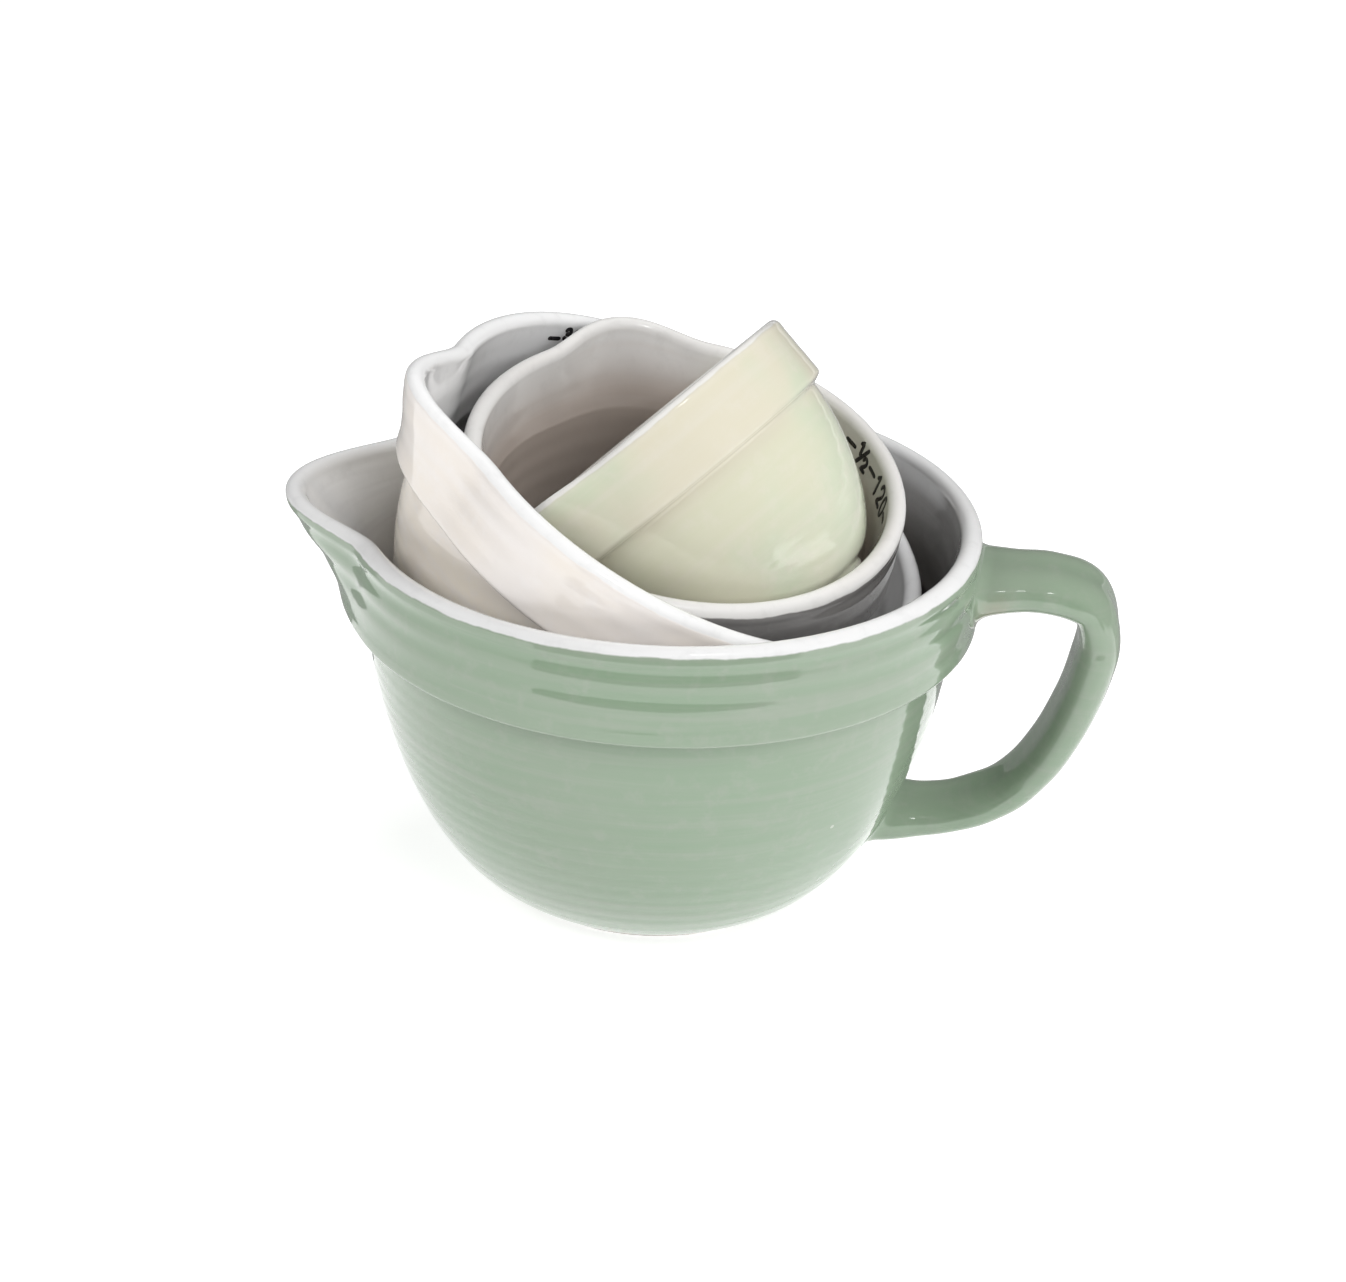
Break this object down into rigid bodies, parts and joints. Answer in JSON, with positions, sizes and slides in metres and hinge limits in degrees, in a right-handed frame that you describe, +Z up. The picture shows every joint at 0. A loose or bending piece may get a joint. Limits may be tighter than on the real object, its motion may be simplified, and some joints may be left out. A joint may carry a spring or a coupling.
{
  "type": "nesting measuring cup set",
  "caption": "Nesting stoneware measuring cups shaped like small batter bowls with pouring spouts and printed fill marks; the largest has a strap handle.",
  "frame": {"origin": "centre of the one-cup bowl's flat foot", "axes": "+Z up, along the one-cup bowl's axis; its spout points along -X and its handle along +X"},
  "size_m": [0.148, 0.112, 0.1086],
  "materials": {
    "sage_glaze": "glossy sage green glaze outside, glossy white glaze inside and on the rim",
    "cream_glaze": "glossy cream glaze",
    "grey_glaze": "glossy stone grey glaze outside, glossy white glaze inside and on the rim",
    "pale_green_glaze": "glossy pale cream-green glaze",
    "ink": "fired black print under a clear glaze"
  },
  "bodies": {
    "one_cup": {"one_cup_bowl": "sage_glaze", "one_cup_handle": "sage_glaze", "one_cup_fill_mark": "ink"},
    "three_quarter_cup": {"three_quarter_cup_bowl": "cream_glaze", "three_quarter_cup_fill_mark": "ink"},
    "half_cup": {"half_cup_bowl": "grey_glaze", "half_cup_fill_mark": "ink"},
    "quarter_cup": {"quarter_cup_bowl": "pale_green_glaze", "quarter_cup_fill_mark": "ink"}
  },
  "joints": [
    {"name": "three_quarter_cup_lift", "type": "slide", "parent": "one_cup", "child": "three_quarter_cup", "axis": [0, 0, 1], "range_m": [0, 0.075]},
    {"name": "half_cup_lift", "type": "slide", "parent": "three_quarter_cup", "child": "half_cup", "axis": [0.4321, -0.0638, 0.8996], "range_m": [0, 0.06]},
    {"name": "quarter_cup_lift", "type": "slide", "parent": "half_cup", "child": "quarter_cup", "axis": [0.151, -0.2205, 0.9636], "range_m": [0, 0.05]}
  ]
}
